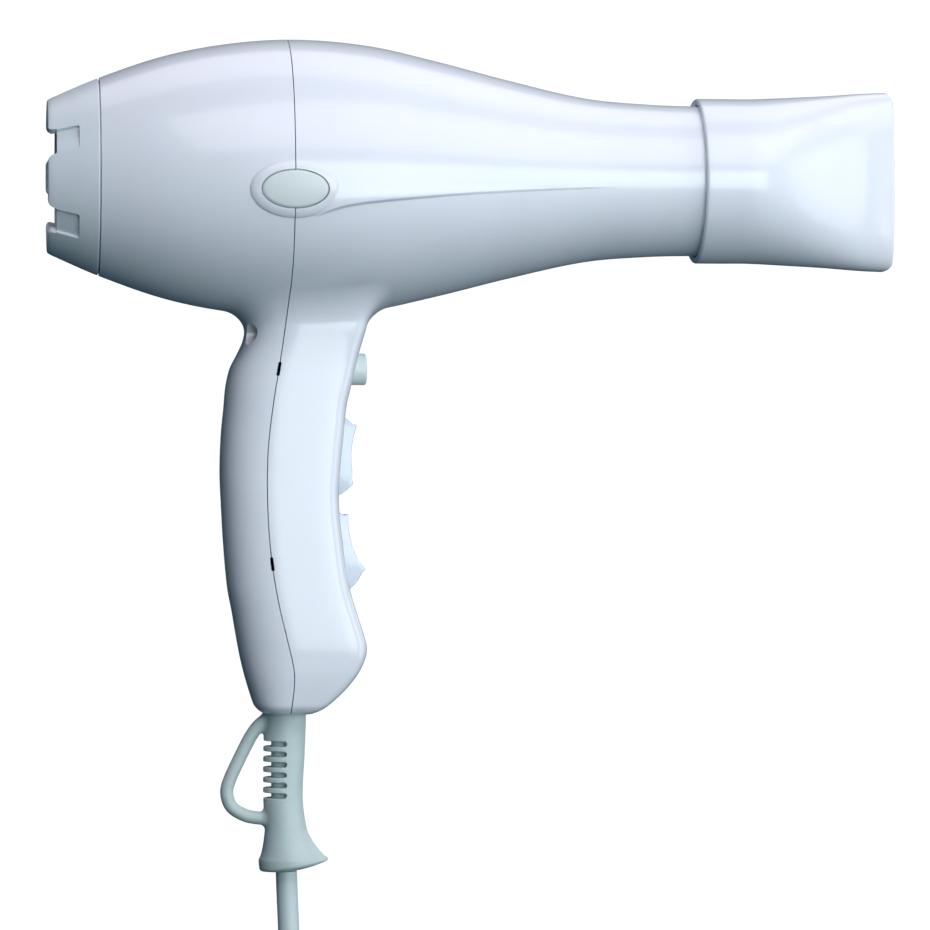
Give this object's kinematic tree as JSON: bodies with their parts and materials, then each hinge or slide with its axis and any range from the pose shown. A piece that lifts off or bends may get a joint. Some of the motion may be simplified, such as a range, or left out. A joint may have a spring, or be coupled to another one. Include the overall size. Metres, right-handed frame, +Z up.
{
  "type": "hair dryer",
  "caption": "Pistol-grip hair dryer with swivelling concentrator nozzle, twist-off rear cover, rocker switches, cool-shot button, hanging loop and folded mains lead.",
  "frame": {"origin": "middle of the grip, on the handle's centre plane", "axes": "+X along the barrel and out of the nozzle, +Y across the width, +Z up from the lead towards the barrel"},
  "size_m": [0.28, 0.0942, 0.5601],
  "materials": {
    "white_abs": "moulded ABS, gloss",
    "cap_abs": "moulded ABS, satin",
    "rocker_abs": "moulded ABS, satin",
    "boot_pvc": "soft PVC, matt",
    "lead_pvc": "PVC sheath, satin",
    "tie_strap": "woven hook-and-loop strap",
    "pin_brass": "nickel-plated brass",
    "filter_mesh": "woven stainless wire",
    "fan_nylon": "glass-filled nylon",
    "steel": "zinc-plated steel",
    "rubber": "rubber",
    "duct_pet": "heat-resistant PET",
    "mica": "pressed mica",
    "heating_wire": "nichrome wire",
    "fuse_case": "brass case",
    "grille_steel": "black-coated steel",
    "circuit_board": "glass-epoxy laminate",
    "switch_case": "black nylon",
    "capacitor_case": "epoxy-filled case",
    "wire_cover": "silicone insulation"
  },
  "bodies": {
    "housing": {"front_housing": "white_abs", "rear_housing": "white_abs", "motor_can": "steel", "motor_ring_rear": "rubber", "motor_ring_front": "rubber", "motor_duct": "duct_pet", "rectifier": "circuit_board", "mica_tube": "mica", "heater_frame": "mica", "heater_coil": "heating_wire", "heater_leads": "wire_cover", "thermostat": "steel", "thermal_fuse": "fuse_case", "outlet_grille": "grille_steel", "badge_left": "cap_abs", "badge_right": "cap_abs", "cool_shot_spring": "steel", "cool_shot_switch": "switch_case", "heat_switch": "switch_case", "speed_switch": "switch_case", "switch_board": "circuit_board", "board_screws": "steel", "suppressor": "capacitor_case", "wire_harness": "wire_cover", "handle_screws": "steel", "strain_relief": "boot_pvc", "lead_end": "lead_pvc", "cord_clamp": "boot_pvc", "clamp_screws": "steel", "cord": "lead_pvc", "cord_hank": "lead_pvc", "cord_tail": "lead_pvc", "cord_tie": "tie_strap", "plug_body": "lead_pvc", "plug_pins": "pin_brass"},
    "rear_cover": {"rear_cover": "white_abs", "filter_screen": "filter_mesh"},
    "fan": {"fan_impeller": "fan_nylon", "motor_shaft": "steel"},
    "nozzle": {"nozzle": "white_abs"},
    "cool_shot_button": {"cool_shot_button": "cap_abs"},
    "heat_rocker": {"heat_rocker": "rocker_abs"},
    "speed_rocker": {"speed_rocker": "rocker_abs"}
  },
  "joints": [
    {"name": "cover_twist", "type": "hinge", "parent": "housing", "child": "rear_cover", "pos_m": [-0.06, 0, 0.0965], "axis": [1, 0, 0], "range_deg": [0, 25]},
    {"name": "fan_spin", "type": "hinge", "parent": "housing", "child": "fan", "pos_m": [-0.038, 0, 0.0965], "axis": [1, 0, 0], "continuous": true},
    {"name": "nozzle_turn", "type": "hinge", "parent": "housing", "child": "nozzle", "pos_m": [0.15, 0, 0.0965], "axis": [1, 0, 0], "continuous": true},
    {"name": "cool_shot_press", "type": "slide", "parent": "housing", "child": "cool_shot_button", "axis": [-1, 0, 0], "range_m": [0, 0.0024], "stiffness_N_per_m": 500, "springref_m": -0.002, "deforming": ["cool_shot_spring"]},
    {"name": "heat_rock", "type": "hinge", "parent": "housing", "child": "heat_rocker", "pos_m": [0.0116, 0, 0.0058], "axis": [0, 1, 0], "range_deg": [-18, 18]},
    {"name": "speed_rock", "type": "hinge", "parent": "housing", "child": "speed_rocker", "pos_m": [0.0123, 0, -0.027], "axis": [0, 1, 0], "range_deg": [0, 36]}
  ]
}
